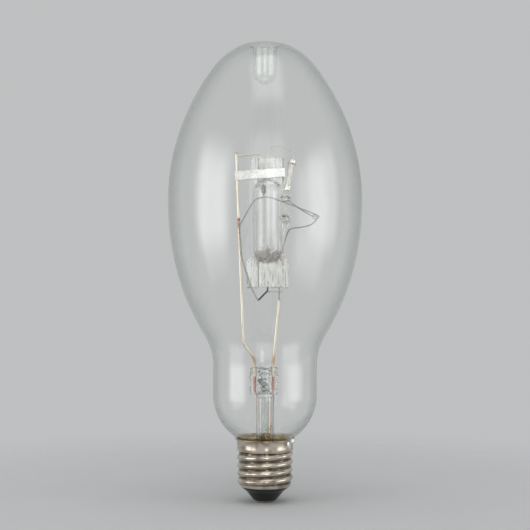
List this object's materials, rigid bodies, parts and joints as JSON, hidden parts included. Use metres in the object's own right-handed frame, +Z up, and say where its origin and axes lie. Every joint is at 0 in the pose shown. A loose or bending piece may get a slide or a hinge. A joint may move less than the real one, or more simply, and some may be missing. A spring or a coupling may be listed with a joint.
{
  "type": "blended light lamp",
  "caption": "Self-ballasted mercury lamp: clear oval glass bulb on a screw cap, holding a quartz arc tube, a starting resistor and a ballast filament on a wire mount.",
  "frame": {"origin": "lowest point of the solder on the centre contact, on the lamp's axis", "axes": "+Z up the lamp's axis from the cap to the bulb's top, +X towards the short lead-in wire's side, -Y towards the front, where the starting resistor and most of the filament stand"},
  "size_m": [0.0904, 0.0904, 0.2137],
  "materials": {
    "clear_glass": "clear and polished, as blown",
    "stem_glass": "clear and polished, wrinkled where it is pressed",
    "quartz": "clear with frosted pinches and a brown-grey deposit",
    "bead_glass": "polished",
    "nickel_plate": "nickel plated, polished, lightly tarnished",
    "cement": "matt, baked brown",
    "black_glass": "black moulded glass, glossy",
    "contact_brass": "stamped, satin",
    "solder": "soft solder, bright with dull patches",
    "nickel_wire": "drawn nickel-plated wire, heat tinted at its welds",
    "strap_nickel": "bright pressed strip",
    "tungsten": "dark grey drawn wire",
    "seal_wire": "copper-clad wire, red under glass",
    "copper_wire": "bare copper wire",
    "molybdenum": "thin etched foil",
    "mercury": "liquid metal",
    "resistor_body": "pale glazed rod"
  },
  "bodies": {
    "root": {"outer_bulb": "clear_glass", "stem_glass": "stem_glass", "exhaust_tube": "stem_glass", "cap_shell": "nickel_plate", "cap_cement": "cement", "cap_insulator": "black_glass", "centre_contact": "contact_brass", "centre_solder": "solder", "side_solder": "solder", "arc_tube": "quartz", "mercury_drops": "mercury", "arc_tube_strap": "strap_nickel", "starting_resistor": "resistor_body", "resistor_foot_cap": "strap_nickel", "resistor_head_cap": "strap_nickel", "support_wire": "nickel_wire", "short_lead": "nickel_wire", "left_seal_wire": "seal_wire", "right_seal_wire": "seal_wire", "centre_contact_lead": "copper_wire", "shell_contact_lead": "copper_wire", "upper_arc_lead": "nickel_wire", "starting_lead": "nickel_wire", "lower_arc_lead": "nickel_wire", "resistor_return_lead": "nickel_wire", "right_filament_hook": "tungsten", "left_filament_hook": "tungsten", "resistor_hanger": "nickel_wire", "filament": "tungsten", "upper_main_foil": "molybdenum", "starting_foil": "molybdenum", "lower_main_foil": "molybdenum", "upper_electrode": "tungsten", "lower_electrode": "tungsten", "starting_electrode": "tungsten", "upper_bead": "bead_glass", "lower_bead": "bead_glass"}
  },
  "joints": []
}
